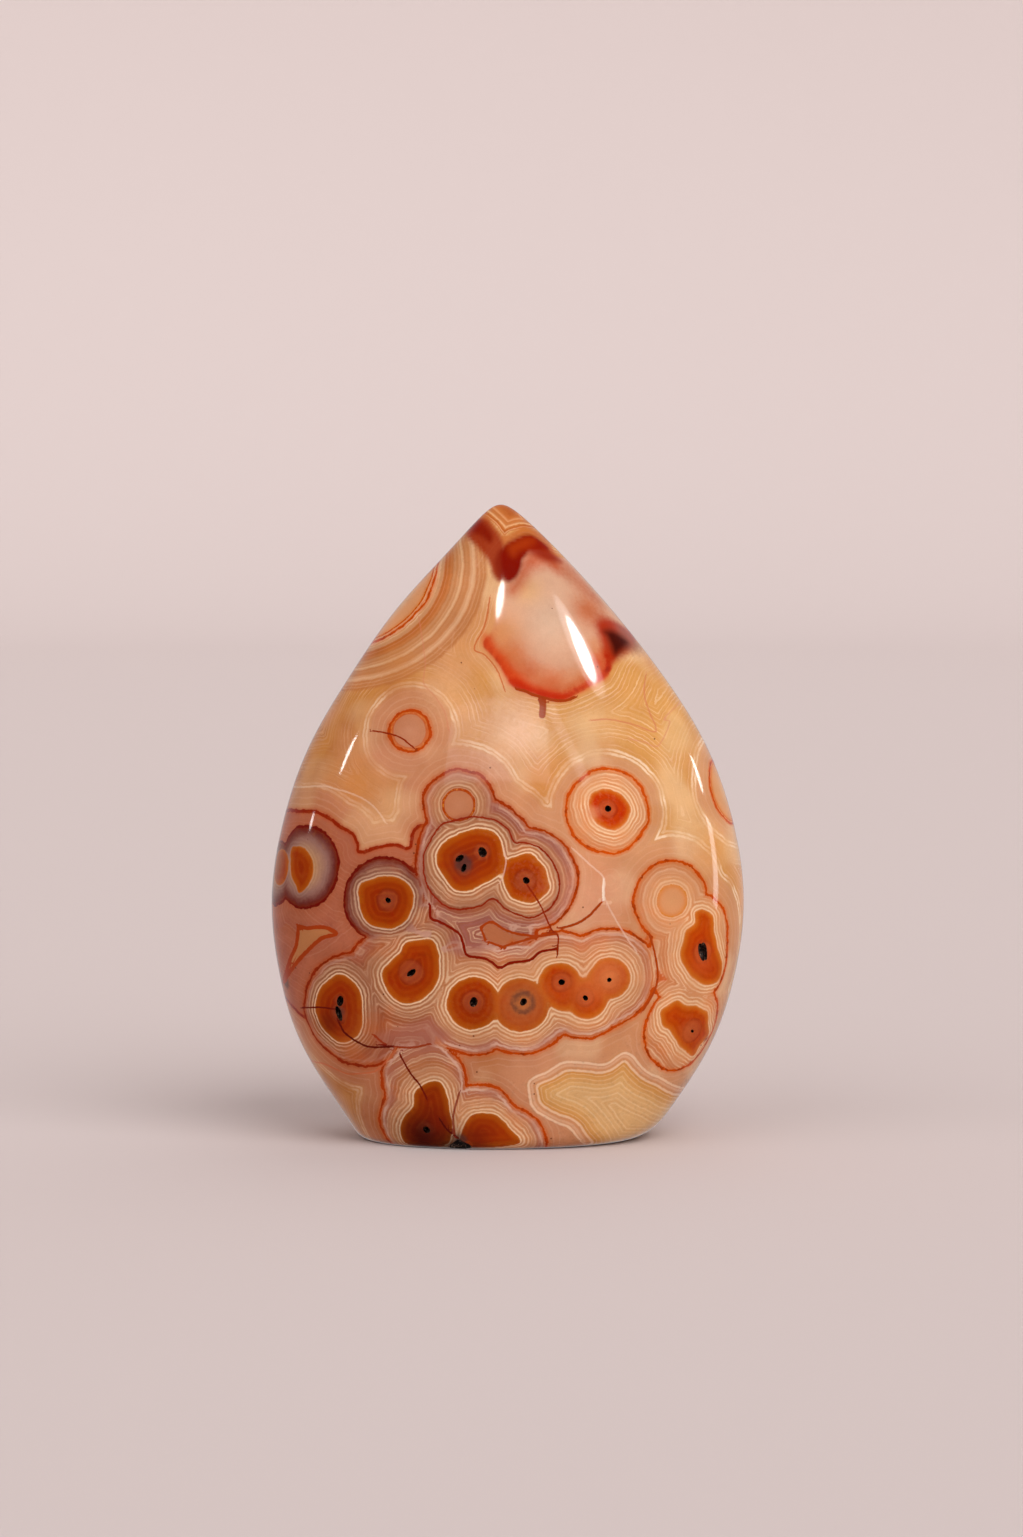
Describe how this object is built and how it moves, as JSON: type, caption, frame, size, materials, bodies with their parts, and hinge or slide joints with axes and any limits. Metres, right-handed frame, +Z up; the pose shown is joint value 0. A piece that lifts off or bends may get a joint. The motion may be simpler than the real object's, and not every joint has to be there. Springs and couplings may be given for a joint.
{
  "type": "carnelian flame carving",
  "caption": "Polished carnelian flame: a flattened teardrop of banded stone with a pointed tip, small open pits and a flat base to stand on.",
  "frame": {"origin": "middle of the flat base", "axes": "+Z up to the tip, +X to the right as seen from the show face, which looks along -Y"},
  "size_m": [0.0709, 0.0358, 0.095],
  "materials": {
    "carnelian": "high polish, banded orange, red, cream and pink"
  },
  "bodies": {
    "root": {"flame_stone": "carnelian"}
  },
  "joints": []
}
